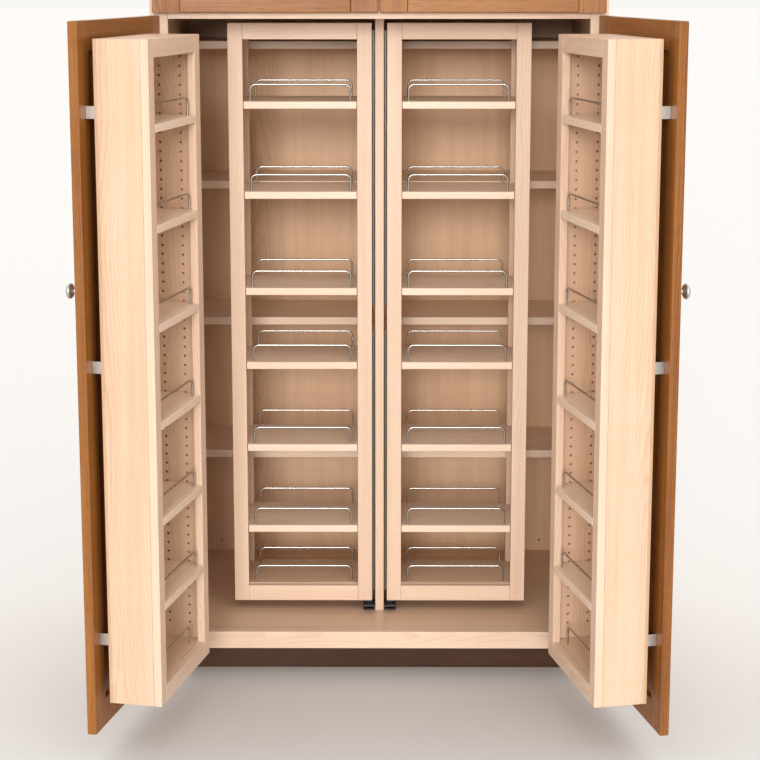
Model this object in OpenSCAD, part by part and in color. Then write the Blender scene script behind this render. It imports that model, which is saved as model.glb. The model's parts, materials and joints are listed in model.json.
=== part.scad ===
// Tall pantry cabinet with a face frame. Two doors below carry shallow racks,
// two deeper racks swing out from a centre post, and two doors close the top.
// Millimetres. X runs to the right, Y to the back and Z up from the floor.

/* [Cabinet box] */
// Width across the face frame
cab_w = 952; // [780:1:1150]
// Height from the floor to the top
cab_h = 2134; // [1770:1:2570]
// Depth of the box behind the face frame
box_d = 610; // [500:1:740]
// Thickness of the sides, floor, divider and top
board_t = 19; // [15:0.5:23]
// Thickness of the back panel
back_t = 6; // [4:0.5:9]
// Thickness of the rails behind the back panel
hang_rail_t = 18; // [12:0.5:22]
// Height of each rail behind the back panel
hang_rail_h = 90; // [70:1:140]
// Radius of the wall screw holes in those rails
wall_hole_r = 3; // [2:0.25:5]
// Distance of the wall screws from the sides of the box
wall_hole_in = 60; // [40:1:120]
// Height of the toe space
toe_h = 72; // [55:1:110]
// Distance of the toe kick behind the front of the face frame
toe_recess = 76; // [50:1:95]
// Thickness of the toe kick board
toe_t = 18; // [12:0.5:22]

/* [Face frame] */
// Thickness of the face frame
frame_t = 19; // [16:0.5:23]
// Width of the two stiles
stile_w = 38; // [34:0.5:60]
// Height of the three rails
rail_w = 38; // [30:0.5:60]
// Height of the lower opening
lower_open_h = 1330; // [1100:1:1600]

/* [Fixed shelves and pins] */
// Number of shelves at the back of the lower part
rear_shelves_n = 4; // [2:1:6]
// Depth of those shelves
rear_shelf_d = 240; // [150:1:250]
// Distance of the top one below the top of the opening
rear_shelf_drop = 58; // [30:1:120]
// Thickness of all the cabinet's shelves
cab_shelf_t = 18; // [15:0.5:22]
// Distance of the upper shelf's edge behind the face frame
upper_shelf_back = 40; // [10:1:120]
// Radius of a shelf pin
pin_r = 2.5; // [2:0.25:3.5]
// Depth of a shelf pin's hole
pin_hole_d = 8; // [6:0.5:10]
// Length of the pin's tongue under a shelf
pin_tongue = 7; // [4:0.5:10]
// Spacing of the pin holes
hole_pitch = 19.05; // [16:0.05:32]

/* [Doors] */
// Thickness of a door
door_t = 19; // [18:0.5:23]
// Width of a door's stiles and rails
door_stile_w = 57; // [50:0.5:75]
// Thickness of a door's panel
door_panel_t = 6; // [4:0.5:8]
// Depth of the groove that holds the panel
groove_d = 9; // [6:0.5:12]
// How far the doors lap over the stiles of the face frame
overlay = 30; // [25:0.5:32]
// Gap between the two doors of a pair
door_gap = 3; // [2:0.5:6]
// Gap between a door and the face frame
bumper_gap = 3; // [2.8:0.1:5]
// How far the lower doors lap over the bottom rail and below it
door_lap_low = 48; // [12:1:60]
// How far the lower doors lap over the middle rail
door_lap_mid = 7; // [5:0.5:14]
// Gap between the lower and the upper doors
door_gap_mid = 6; // [3:0.5:12]
// How far the upper doors lap over the top rail
door_lap_top = 28; // [10:1:32]
// How far the lower doors stand open at rest
open_angle = 102; // [0:1:105]
// Height of the lower knobs above the floor
knob_z = 940; // [400:1:1100]
// Radius of a knob
knob_r = 15; // [10:0.5:20]

/* [Door hinges] */
// Distance of the hinge pin from the door's edge
hinge_in_x = 5; // [4.5:0.5:6]
// Distance of the hinge pin from the door's inner face
hinge_in_y = 7; // [6.5:0.5:8]
// Radius of the hinge cup in the door
cup_r = 17.5; // [12:0.5:17.5]
// Depth of the hinge cup
cup_d = 11.5; // [9:0.5:12.5]
// Distance of the cup's centre from the door's edge
cup_in = 30; // [27:0.5:32]
// Distance of the outer hinges from the ends of a door
hinge_end = 90; // [60:1:110]
// Height of a hinge
hinge_h = 40; // [34:1:60]

/* [Swing-out racks] */
// Depth of a swing-out rack
swing_d = 195; // [160:1:200]
// Room beside a swing-out rack for its corner to turn
swing_room = 110.5; // [90:0.5:140]
// Distance of the racks and the centre post behind the face frame's front
swing_y = 145; // [130:1:160]
// Gap between a rack and the centre post
post_gap = 7; // [6:0.5:12]
// Width of the centre post
post_w = 19; // [16:0.5:32]
// Depth of the centre post
post_d = 200; // [150:1:205]
// Height of a rack above the cabinet floor
rack_lift = 23; // [18:0.5:35]
// Gap above a swing-out rack
rack_top_gap = 12; // [8:0.5:25]
// Shelf tops of a swing-out rack as shares of its height
swing_levels = [0.1363, 0.2811, 0.4259, 0.5544, 0.7189, 0.8703];

/* [Door racks] */
// Depth of a door rack
door_rack_d = 108; // [80:1:112]
// Margin between a door rack and the door's free edge
door_rack_free = 30; // [24:1:50]
// Margin between a door rack and the door's hinge edge
door_rack_hinge = 125.5; // [110:0.5:150]
// Gap between a door rack and the door
standoff = 18; // [12:0.5:20]
// Height of a door rack above the door's lower edge
door_rack_low = 57; // [50:1:80]
// Distance of a door rack's top below the door's upper edge
door_rack_high = 33; // [20:1:60]
// Thickness of a door rack's back panel
rack_back_t = 6; // [4:0.5:9]
// Shelf tops of a door rack as shares of its height
door_levels = [0.158, 0.29, 0.436, 0.583, 0.73, 0.877];
// Heights of the stand-off brackets as shares of the rack's height
bracket_levels = [0.1, 0.52, 0.895];
// Height of a stand-off bracket
bracket_h = 24; // [16:1:40]

/* [Rack boards and rails] */
// Thickness of a rack's front and back frames
rack_frame_t = 16; // [12:0.5:19]
// Width of the stiles in a rack's frames
rack_stile_w = 32; // [26:0.5:40]
// Height of the rails in a rack's frames
rack_rail_w = 35; // [28:0.5:45]
// Thickness of a rack's sides
rack_side_t = 12; // [11:0.5:16]
// Thickness of a rack's shelves, top and floor
rack_shelf_t = 16; // [12:0.5:19]
// Height of a rack's floor above its lower edge
rack_floor_z = 37; // [28:0.5:50]
// Clearance around a loose shelf
shelf_gap = 1; // [0.5:0.1:2]
// Radius of the rail wire
wire_r = 2.25; // [1.5:0.25:3]
// Height of a rail above its shelf
wire_rise = 36; // [25:1:60]
// Radius of a rail's bends
wire_bend = 12; // [6:0.5:18]
// Distance of a rail's legs from the sides of the rack
wire_end = 47; // [36:0.5:60]
// Distance of a rail from the edge of its shelf
wire_in = 12; // [6:0.5:20]
// Depth of the hole for a rail's leg
wire_peg = 8; // [5:0.5:9]

/* [Continuous hinges and pivots] */
// Radius of a hinge knuckle
knuckle_r = 3; // [2.5:0.1:3.3]
// Radius of the hinge pin
hinge_pin_r = 1.1; // [0.8:0.1:1.5]
// Height of one knuckle
knuckle_h = 25; // [15:0.5:40]
// Thickness of a hinge leaf
leaf_t = 1.2; // [0.8:0.1:1.6]
// Width of a hinge leaf
leaf_w = 30; // [20:1:40]
// Distance of the lower hinge above the rack's lower edge
leaf_low = 26; // [20:1:60]
// Distance of the upper hinge below the rack's upper edge
leaf_high = 16; // [10:1:60]
// Least gap between the two hinges of a rack
leaf_mid = 53; // [20:1:120]
// Spacing of the hinge screws
screw_pitch = 75; // [40:1:120]
// Thickness of the pivot bracket
bracket_t = 3; // [2:0.5:4]
// Radius of the pivot glide
glide_r = 8; // [6:0.5:10]
// Height of the pivot glide
glide_h = 3.5; // [2.5:0.5:5]
// Thickness of the plate above the glide
glide_plate_t = 2.5; // [1.5:0.5:4]

/* [Hidden] */
$fn = 32;

maple = [0.93, 0.80, 0.66];
maple_edge = [0.96, 0.86, 0.74];
maple_back = [0.84, 0.70, 0.55];
stained = [0.74, 0.46, 0.22];
dark_stain = [0.30, 0.14, 0.06];
bright_wire = [0.86, 0.86, 0.88];
nickel = [0.75, 0.75, 0.76];
black_nylon = [0.12, 0.12, 0.12];

// Clearances and joints
glue_line = 0.1;        // hairline between boards of one frame or case
hole_gap = 0.1;         // radial clearance of pins and pegs
pin_play = 0.5;         // room behind a shelf pin in its hole
panel_gap = 0.2;        // gap on each face of a door's panel in its groove
panel_play = 1;         // room for a door's panel to swell in its groove
running_gap = 0.05;     // radial clearance of a hinge pin
slide_gap = 0.2;        // gap under the pivot glide
knuckle_gap = 0.3;      // gap between neighbouring knuckles
cut = 1;                // overrun of a cut past its face

// Hardware that every screw and pin shares
pin_tongue_w = 7;
screw_hole_r = 1.9;
screw_r = 1.7;
screw_head_r = 3.2;
screw_head_t = 0.9;
screw_len = 9;
sheet_t = 2;

// Places of the box and its openings
half_w = cab_w / 2;
inner_x = half_w - board_t;
open_x = half_w - stile_w;
box_back = frame_t + box_d;
back_y = box_back - hang_rail_t - back_t;
floor_z = toe_h + rail_w;
mid_open_z = floor_z + lower_open_h;
mid_z = mid_open_z + rail_w;
top_open_z = cab_h - rail_w;
toe_top_z = floor_z - board_t;

// Places of the doors, drawn closed
door_edge_x = half_w - stile_w + overlay;
door_w = door_edge_x - door_gap / 2;
door_y = -bumper_gap;
hinge_x = door_edge_x - hinge_in_x;
hinge_y = door_y - hinge_in_y;
lower_z = floor_z - door_lap_low;
lower_top = mid_open_z + door_lap_mid;
upper_z = lower_top + door_gap_mid;
upper_top = top_open_z + door_lap_top;
hinge_zs_lower = [for (i = [0:2]) lower_z + hinge_end + i * (lower_top - lower_z - 2 * hinge_end) / 2];
hinge_zs_upper = [upper_z + hinge_end, upper_top - hinge_end];
upper_knob_up = 60;

// The origin is at the middle of the space taken with the lower doors open
door_reach = hinge_x - door_gap / 2;
front_y = min(door_y - door_t, hinge_y - door_reach * sin(open_angle) + hinge_in_y * cos(open_angle));
mid_y = (box_back + front_y) / 2;

// Places of the swing-out racks
rack_x = post_w / 2 + post_gap;
swing_w = open_x - rack_x - swing_room;
swing_z = floor_z + rack_lift;
swing_h = lower_open_h - rack_lift - rack_top_gap;
swing_case_end = swing_d - rack_frame_t;
swing_hole_in = 45;
swing_holes_y = [swing_hole_in, swing_d - swing_hole_in];
swing_hole_rows = 2;
axis_x = post_w / 2 + post_gap / 2;
axis_y = swing_y - 1;
hinge_pairs = floor((swing_h - leaf_low - leaf_high - leaf_mid) / 4 / knuckle_h);
hinge_len = 2 * hinge_pairs * knuckle_h;
hinge_starts = [swing_z + leaf_low, swing_z + swing_h - leaf_high - hinge_len];
screws_n = floor((hinge_len - knuckle_h) / screw_pitch) + 1;
screw_zs = [for (z = hinge_starts) for (i = [0:screws_n - 1])
    z + hinge_len / 2 + (i - (screws_n - 1) / 2) * screw_pitch];
screw_in = 5;
screw_y = swing_y + rack_frame_t + screw_in;

// Places of the door racks, drawn with the door closed
door_rack_x = door_gap / 2 + door_rack_free;
door_rack_w = door_w - door_rack_free - door_rack_hinge;
door_rack_z = lower_z + door_rack_low;
door_rack_h = lower_top - door_rack_high - door_rack_z;
door_rack_y = door_y + standoff + door_rack_d;
door_case_end = door_rack_d - rack_back_t;
door_hole_front = 38;
door_hole_back = 20;
door_holes_y = [door_hole_front, door_case_end - door_hole_back];
first_hole = 70.2;
door_hole_n = floor((door_rack_h - first_hole - rack_rail_w) / hole_pitch);

// A shelf's top, given the number of the hole that its pins are in
function top_of_hole(n) = first_hole + n * hole_pitch + pin_r + rack_shelf_t;
function hole_for(top) = round((top - pin_r - rack_shelf_t - first_hole) / hole_pitch);

swing_tops = [for (s = swing_levels) s * swing_h];
door_tops = [for (s = door_levels) top_of_hole(hole_for(s * door_rack_h))];

rear_pitch = (lower_open_h - rear_shelf_drop) / rear_shelves_n;
rear_tops = [for (i = [1:rear_shelves_n]) floor_z + i * rear_pitch];
rear_y = back_y - rear_shelf_d;
rear_pin_in = 40;
rear_pins_y = [rear_y + rear_pin_in, back_y - rear_pin_in];
upper_shelf_z = (mid_z + top_open_z) / 2;
upper_shelf_y = frame_t + upper_shelf_back;
upper_pin_in = 60;
upper_pins_y = [upper_shelf_y + upper_pin_in, back_y - upper_pin_in];

// ---- Helpers ----

// A box between its lowest and its highest corner
module slab(lo, hi) {
    translate(lo) cube(hi - lo);
}

// Places a piece drawn from the face frame's front in the model's own frame
module placed() {
    translate([0, -mid_y, 0]) children();
}

module right_half() {
    placed() children();
}

module left_half() {
    placed() mirror([1, 0, 0]) children();
}

// Turns a piece of a right-hand door about the door's hinge pin
module swung(angle) {
    translate([hinge_x, hinge_y, 0]) rotate(angle) translate([-hinge_x, -hinge_y, 0]) children();
}

module in_swing_rack() {
    translate([rack_x, swing_y, swing_z]) children();
}

// A door rack faces the back of the cabinet while its door is closed
module in_door_rack() {
    swung(open_angle) translate([door_rack_x, door_rack_y, door_rack_z]) mirror([0, 1, 0]) children();
}

// A round bar or hole along X from x to x + length
module along_x(x, y, z, r, length) {
    translate([x, y, z]) rotate([0, 90, 0]) cylinder(r = r, h = length);
}

// A round bar or hole along Y from y to y + length
module along_y(x, y, z, r, length) {
    translate([x, y, z]) rotate([-90, 0, 0]) cylinder(r = r, h = length);
}

// A shelf pin in a wall whose face is at x = 0, with its tongue pointing to +X
module shelf_pin() {
    along_x(-pin_hole_d + pin_play, 0, -pin_r, pin_r, pin_hole_d - pin_play);
    slab([0, -pin_tongue_w / 2, -pin_r], [pin_tongue, pin_tongue_w / 2, 0]);
}

// A wood screw whose head rests on a face at x = 0 and whose shank points to -X
module screw_x(length) {
    along_x(0, 0, 0, screw_head_r, screw_head_t);
    along_x(-length, 0, 0, screw_r, length);
}

// ---- Racks, drawn with the front at y = 0 and one lower corner at x = z = 0 ----

// Two stiles with two rails between them
module rack_frame(w, h) {
    for (x = [0, w - rack_stile_w]) {
        slab([x, 0, 0], [x + rack_stile_w, rack_frame_t, h]);
    }
    rail_x = rack_stile_w + glue_line;
    for (z = [0, h - rack_rail_w]) {
        slab([rail_x, 0, z], [w - rail_x, rack_frame_t, z + rack_rail_w]);
    }
}

// Sides, top and floor, from the front frame at the front to y_end at the back
module rack_case(w, h, y_end, holes_y, holes_z, wires_y) {
    inner = rack_side_t + glue_line;
    difference() {
        for (x = [0, w - rack_side_t]) {
            slab([x, rack_frame_t, 0], [x + rack_side_t, y_end, h]);
        }
        for (x = [rack_side_t - pin_hole_d, w - rack_side_t - cut]) {
            for (y = holes_y) {
                for (z = holes_z) {
                    along_x(x, y, z, pin_r + hole_gap, pin_hole_d + cut);
                }
            }
        }
    }
    slab([inner, rack_frame_t, h - rack_shelf_t], [w - inner, y_end, h]);
    difference() {
        slab([inner, rack_frame_t, rack_floor_z - rack_shelf_t], [w - inner, y_end, rack_floor_z]);
        wire_holes(w, rack_floor_z, wires_y);
    }
}

// Blind holes for the legs of the rails in a board whose top is at z
module wire_holes(w, z, wires_y) {
    for (x = [wire_end, w - wire_end]) {
        for (y = wires_y) {
            translate([x, y, z - wire_peg]) cylinder(r = wire_r + hole_gap, h = wire_peg + cut);
        }
    }
}

// Shelves with corners notched around the stiles, so that their edges lie flush with the frame
module rack_shelves(w, tops, y_wide, y_narrow, wires_y) {
    wide = rack_side_t + shelf_gap;
    narrow = rack_stile_w + shelf_gap;
    for (top = tops) {
        low = top - rack_shelf_t;
        difference() {
            union() {
                slab([wide, rack_frame_t + shelf_gap, low], [w - wide, y_wide - shelf_gap, top]);
                slab([narrow, 0, low], [w - narrow, y_narrow, top]);
            }
            wire_holes(w, top, wires_y);
        }
    }
}

// One rail of bent wire, its legs standing in a board whose top is at z = 0
module wire_rail(w) {
    half_span = w / 2 - wire_end;
    for (side = [0, 1]) {
        mirror([side, 0, 0]) {
            translate([half_span, 0, -wire_peg]) cylinder(r = wire_r, h = wire_peg + wire_rise - wire_bend);
            translate([half_span - wire_bend, 0, wire_rise - wire_bend]) rotate([90, 0, 0])
                rotate_extrude(angle = 90) translate([wire_bend, 0]) circle(r = wire_r);
            along_x(0, 0, wire_rise, wire_r, half_span - wire_bend);
        }
    }
}

module rack_rails(w, tops, wires_y, floor_wires_y) {
    for (top = tops) {
        for (y = wires_y) {
            translate([w / 2, y, top]) wire_rail(w);
        }
    }
    for (y = floor_wires_y) {
        translate([w / 2, y, rack_floor_z]) wire_rail(w);
    }
}

module rack_pins(w, tops, holes_y) {
    for (top = tops) {
        for (y = holes_y) {
            translate([rack_side_t, y, top - rack_shelf_t]) shelf_pin();
            translate([w - rack_side_t, y, top - rack_shelf_t]) mirror([1, 0, 0]) shelf_pin();
        }
    }
}

// The swing-out rack's own sizes
swing_wires_y = [wire_in, swing_d - wire_in];
swing_floor_wires_y = [rack_frame_t + wire_in, swing_case_end - wire_in];
swing_holes_z = [for (top = swing_tops) for (i = [-swing_hole_rows:swing_hole_rows])
    top - rack_shelf_t - pin_r + i * hole_pitch];

module swing_case() {
    in_swing_rack()
        rack_case(swing_w, swing_h, swing_case_end, swing_holes_y, swing_holes_z, swing_floor_wires_y);
}

module swing_front_frame() {
    in_swing_rack() rack_frame(swing_w, swing_h);
}

module swing_back_frame() {
    in_swing_rack() translate([0, swing_case_end, 0]) rack_frame(swing_w, swing_h);
}

module swing_shelves() {
    in_swing_rack() rack_shelves(swing_w, swing_tops, swing_case_end, swing_d, swing_wires_y);
}

module swing_rails() {
    in_swing_rack() rack_rails(swing_w, swing_tops, swing_wires_y, swing_floor_wires_y);
}

module swing_pins() {
    in_swing_rack() rack_pins(swing_w, swing_tops, swing_holes_y);
}

// The door rack's own sizes
door_wires_y = [wire_in];
door_floor_wires_y = [rack_frame_t + wire_in];
door_holes_z = [for (i = [0:door_hole_n]) first_hole + i * hole_pitch];

module door_case() {
    in_door_rack()
        rack_case(door_rack_w, door_rack_h, door_case_end, door_holes_y, door_holes_z, door_floor_wires_y);
}

module door_rack_back() {
    in_door_rack() slab([0, door_case_end, 0], [door_rack_w, door_rack_d, door_rack_h]);
}

module door_rack_frame() {
    in_door_rack() rack_frame(door_rack_w, door_rack_h);
}

module door_rack_shelves() {
    in_door_rack()
        rack_shelves(door_rack_w, door_tops, door_case_end, door_case_end - shelf_gap, door_wires_y);
}

module door_rack_rails() {
    in_door_rack() rack_rails(door_rack_w, door_tops, door_wires_y, door_floor_wires_y);
}

module door_rack_pins() {
    in_door_rack() rack_pins(door_rack_w, door_tops, door_holes_y);
}

// Channel brackets that hold the rack off the door, with a screw head on each foot
module door_rack_brackets() {
    foot = 16;
    edge_in = 3;
    head_x = foot * 0.6;
    for (level = bracket_levels) {
        for (side = [0, 1]) {
            in_door_rack() translate([side * door_rack_w, door_rack_d, level * door_rack_h])
                mirror([side, 0, 0]) translate([edge_in, 0, -bracket_h / 2]) {
                    slab([0, 0, 0], [foot, sheet_t, bracket_h]);
                    slab([0, 0, 0], [sheet_t, standoff, bracket_h]);
                    slab([0, standoff - sheet_t, 0], [foot, standoff, bracket_h]);
                    for (y = [0, standoff - sheet_t - screw_head_t]) {
                        along_y(head_x, y, bracket_h / 2, screw_head_r, sheet_t + screw_head_t);
                    }
                }
        }
    }
}

// ---- Doors, drawn closed on the right-hand side ----

// Two stiles and two rails grooved for the panel and cut out for the hinges
module door_frame(z0, z1, hinge_zs) {
    x0 = door_gap / 2;
    x1 = door_edge_x;
    groove_t = door_panel_t + 2 * panel_gap;
    groove_y = door_y - door_t / 2;
    difference() {
        union() {
            for (x = [x0, x1 - door_stile_w]) {
                slab([x, door_y - door_t, z0], [x + door_stile_w, door_y, z1]);
            }
            for (z = [z0, z1 - door_stile_w]) {
                slab([x0 + door_stile_w + glue_line, door_y - door_t, z],
                    [x1 - door_stile_w - glue_line, door_y, z + door_stile_w]);
            }
        }
        slab([x0 + door_stile_w - groove_d, groove_y - groove_t / 2, z0 + door_stile_w - groove_d],
            [x1 - door_stile_w + groove_d, groove_y + groove_t / 2, z1 - door_stile_w + groove_d]);
        for (z = hinge_zs) {
            door_hinge_cut(z);
        }
    }
}

// The panel stands in the groove of the lower rail, with a gap of lift under it
module door_panel(z0, z1, lift) {
    x0 = door_gap / 2 + door_stile_w - groove_d + panel_play;
    x1 = door_edge_x - door_stile_w + groove_d - panel_play;
    y = door_y - door_t / 2;
    slab([x0, y - door_panel_t / 2, z0 + door_stile_w - groove_d + lift],
        [x1, y + door_panel_t / 2, z1 - door_stile_w + groove_d - panel_play]);
}

// Concealed hinge: a cup let into the door, knuckles in a cut at the door's corner,
// and a plate that wraps the stile of the face frame and carries the pin
barrel_r = 4;
barrel_pin_r = 1.5;
barrel_clear = 3.5;
cup_wall = 1.5;
cup_clear = 0.2;
cut_end_gap = 2;
mid_knuckle = hinge_h * 0.45;
web_y = -bumper_gap + 2 * cup_clear;
plate_in = 15;

module door_hinge_cut(z) {
    reach = barrel_r + barrel_clear;
    h = hinge_h + 2 * cut_end_gap;
    translate([0, 0, z - h / 2]) {
        slab([hinge_x - reach, hinge_y - reach, 0], [door_edge_x + cut, door_y + cut, h]);
        slab([door_edge_x - cup_in - cut, door_y - sheet_t - cup_clear, 0], [door_edge_x, door_y + cut, h]);
    }
    along_y(door_edge_x - cup_in, door_y - cup_d, z, cup_r, cup_d + cut);
}

module door_hinge(z) {
    x = door_edge_x - cup_in;
    flange_y = door_y - sheet_t;
    difference() {
        union() {
            along_y(x, door_y - cup_d + cup_clear, z, cup_r - cup_clear, cup_d - cup_clear);
            slab([x, flange_y, z - hinge_h / 2], [hinge_x, door_y, z + hinge_h / 2]);
            slab([hinge_x - barrel_r, hinge_y, z - hinge_h / 2], [hinge_x, door_y, z + hinge_h / 2]);
            translate([hinge_x, hinge_y, z - hinge_h / 2]) cylinder(r = barrel_r, h = hinge_h);
        }
        along_y(x, door_y - cup_d + cup_wall, z, cup_r - cup_wall, cup_d);
        translate([hinge_x - barrel_r - cut, hinge_y - barrel_r - cut, z - mid_knuckle / 2])
            cube([2 * barrel_r + 2 * cut, 2 * barrel_r + bumper_gap + 2 * cut, mid_knuckle]);
        translate([hinge_x, hinge_y, z - hinge_h / 2 - cut])
            cylinder(r = barrel_pin_r + running_gap, h = hinge_h + 2 * cut);
    }
}

module frame_hinge(z) {
    knuckle = mid_knuckle - 2 * knuckle_gap;
    web_end = web_y + sheet_t;
    half_neck = barrel_r / 2;
    slab([open_x - sheet_t, web_y, z - hinge_h / 2], [open_x, plate_in, z + hinge_h / 2]);
    slab([open_x - sheet_t, web_y, z - knuckle / 2], [hinge_x + half_neck, web_end, z + knuckle / 2]);
    slab([hinge_x - half_neck, hinge_y, z - knuckle / 2], [hinge_x + half_neck, web_end, z + knuckle / 2]);
    translate([hinge_x, hinge_y, z - knuckle / 2]) cylinder(r = barrel_r, h = knuckle);
    translate([hinge_x, hinge_y, z - hinge_h / 2]) cylinder(r = barrel_pin_r, h = hinge_h);
}

// A turned knob, its foot on the door's outer face: foot, slim neck and domed head
knob_foot_r = 9;
knob_neck_r = 5.5;
knob_neck_l = 12;
knob_l = 27;
knob_profile = [
    [0, 0], [knob_foot_r, 0], [knob_foot_r, 1.5], [knob_neck_r + 0.5, 3],
    [knob_neck_r, 8], [knob_neck_r + 1, knob_neck_l], [knob_r - 2, knob_neck_l + 3.5],
    [knob_r, knob_neck_l + 7], [knob_r - 1, knob_l - 4.5], [knob_r - 5, knob_l - 1.5], [0, knob_l]
];

module knob(z) {
    translate([door_gap / 2 + door_stile_w / 2, door_y - door_t, z]) rotate([90, 0, 0])
        rotate_extrude($fn = 48) polygon(knob_profile);
}

// ---- Cabinet box ----

// One side with its toe notch and the holes for the shelf pins, drawn on the right
module side_panel() {
    difference() {
        slab([inner_x, frame_t, 0], [half_w, box_back, cab_h]);
        slab([inner_x - cut, frame_t - cut, -cut], [half_w + cut, toe_recess, toe_h]);
        for (top = rear_tops) {
            side_pin_holes(top, rear_pins_y);
        }
        side_pin_holes(upper_shelf_z, upper_pins_y);
    }
}

// The hole in use and one above and below it, for a shelf whose top is at z
module side_pin_holes(z, pins_y) {
    for (y = pins_y) {
        for (i = [-1:1]) {
            along_x(inner_x - cut, y, z - cab_shelf_t - pin_r + i * 2 * hole_pitch,
                pin_r + hole_gap, pin_hole_d + cut);
        }
    }
}

module side_panel_left() { color(maple) left_half() side_panel(); }
module side_panel_right() { color(maple) right_half() side_panel(); }

module bottom_panel() {
    color(maple) placed() slab([-inner_x, frame_t, floor_z - board_t], [inner_x, back_y, floor_z]);
}

module mid_panel() {
    color(maple) placed() slab([-inner_x, frame_t, mid_z - board_t], [inner_x, back_y, mid_z]);
}

module top_panel() {
    color(maple) placed() slab([-inner_x, frame_t, cab_h - board_t], [inner_x, back_y, cab_h]);
}

module back_panel() {
    color(maple_back) placed() difference() {
        slab([-inner_x, back_y, toe_top_z], [inner_x, back_y + back_t, cab_h]);
        wall_holes();
    }
}

// Three rails for fixing to a wall; the top and the bottom one are drilled
hang_zs = [toe_top_z, mid_z - hang_rail_h, cab_h - hang_rail_h];
wall_holes_x = inner_x - wall_hole_in;
wall_holes_z = [hang_zs[0] + hang_rail_h / 2, hang_zs[2] + hang_rail_h / 2];

module wall_holes() {
    for (x = [-wall_holes_x, wall_holes_x]) {
        for (z = wall_holes_z) {
            along_y(x, back_y - cut, z, wall_hole_r, back_t + hang_rail_t + 2 * cut);
        }
    }
}

module hang_rails() {
    color(maple_back) placed() difference() {
        for (z = hang_zs) {
            slab([-inner_x, back_y + back_t, z], [inner_x, box_back, z + hang_rail_h]);
        }
        wall_holes();
    }
}

module toe_kick() {
    color(dark_stain) placed() slab([-inner_x, toe_recess, 0], [inner_x, toe_recess + toe_t, toe_top_z]);
}

module face_frame_stiles() {
    color(maple_edge) placed() for (x = [-half_w, open_x]) {
        slab([x, 0, toe_h], [x + stile_w, frame_t, cab_h]);
    }
}

module face_frame_rails() {
    color(maple_edge) placed() for (z = [toe_h, mid_open_z, top_open_z]) {
        slab([-open_x, 0, z], [open_x, frame_t, z + rail_w]);
    }
}

module centre_post() {
    color(maple_edge) placed()
        slab([-post_w / 2, swing_y, floor_z], [post_w / 2, swing_y + post_d, mid_z - board_t]);
}

module rear_shelves() {
    end_x = inner_x - shelf_gap;
    color(maple_edge) placed() for (top = rear_tops) {
        slab([-end_x, rear_y, top - cab_shelf_t], [end_x, back_y - shelf_gap, top]);
    }
}

module upper_shelf() {
    color(maple_edge) placed() slab([-inner_x + shelf_gap, upper_shelf_y, upper_shelf_z - cab_shelf_t],
        [inner_x - shelf_gap, back_y - shelf_gap, upper_shelf_z]);
}

module shelf_pins() {
    color(nickel) placed() for (side = [0, 1]) {
        mirror([side, 0, 0]) {
            for (top = rear_tops) {
                cabinet_pins(top, rear_pins_y);
            }
            cabinet_pins(upper_shelf_z, upper_pins_y);
        }
    }
}

module cabinet_pins(top, pins_y) {
    for (y = pins_y) {
        translate([inner_x, y, top - cab_shelf_t]) mirror([1, 0, 0]) shelf_pin();
    }
}

// ---- Continuous hinges, drawn on the right-hand side ----
leaf_clear = 0.5;

// One leaf against a face at x = face, on the side of the pin given by dir, with every
// second knuckle from first on
module hinge_leaf(face, dir, first) {
    x0 = min(face, face + dir * leaf_t);
    x1 = max(face, face + dir * leaf_t);
    clear_y = knuckle_r + leaf_clear;
    difference() {
        for (z = hinge_starts) {
            slab([x0, axis_y + clear_y, z], [x1, axis_y + leaf_w, z + hinge_len]);
            for (i = [first:2:2 * hinge_pairs - 1]) {
                translate([0, 0, z + i * knuckle_h + knuckle_gap / 2]) {
                    slab([x0, axis_y, 0], [x1, axis_y + clear_y + leaf_clear, knuckle_h - knuckle_gap]);
                    translate([axis_x, axis_y, 0]) cylinder(r = knuckle_r, h = knuckle_h - knuckle_gap);
                }
            }
        }
        for (z = screw_zs) {
            along_x(x0 - cut, screw_y, z, screw_hole_r, leaf_t + 2 * cut);
        }
        for (z = hinge_starts) {
            translate([axis_x, axis_y, z - cut])
                cylinder(r = hinge_pin_r + running_gap, h = hinge_len + 2 * cut);
        }
    }
}

module post_hinge_leaves() {
    color(nickel) placed() for (side = [0, 1]) {
        mirror([side, 0, 0]) {
            hinge_leaf(post_w / 2, 1, 0);
            for (z = hinge_starts) {
                translate([axis_x, axis_y, z]) cylinder(r = hinge_pin_r, h = hinge_len);
            }
        }
    }
}

module rack_hinges() {
    hinge_leaf(rack_x, -1, 1);
    for (z = screw_zs) {
        translate([rack_x - leaf_t - glue_line, screw_y, z]) mirror([1, 0, 0]) screw_x(screw_len);
    }
}

// ---- Pivots: a plate on the rack with a glide that turns on the bracket below it ----
glide_x = axis_x + 12;
glide_y = axis_y + 14;
pivot_w = 20;
pivot_end_y = swing_y + 30;
pivot_in = 1;
bracket_end_x = rack_x + pivot_w;
bracket_front_y = axis_y - 2 * glide_r;
bracket_top = swing_z - glide_plate_t - glide_h - slide_gap;

module rack_pivot() {
    plate_z = swing_z - glide_plate_t;
    slab([rack_x + pivot_in, swing_y + pivot_in, plate_z], [rack_x + pivot_w, pivot_end_y, swing_z]);
    translate([glide_x, glide_y, plate_z - glide_h]) cylinder(r = glide_r, h = glide_h + cut);
}

module pivot_brackets() {
    leg_x = post_w / 2;
    leg_y = swing_y + 2 * pivot_in;
    color(black_nylon) placed() for (side = [0, 1]) {
        mirror([side, 0, 0]) {
            slab([leg_x, bracket_front_y, bracket_top - bracket_t],
                [bracket_end_x, pivot_end_y, bracket_top]);
            slab([leg_x, leg_y, floor_z], [leg_x + bracket_t, pivot_end_y, bracket_top]);
            slab([leg_x, leg_y, floor_z], [bracket_end_x, pivot_end_y, floor_z + sheet_t]);
        }
    }
}

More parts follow.
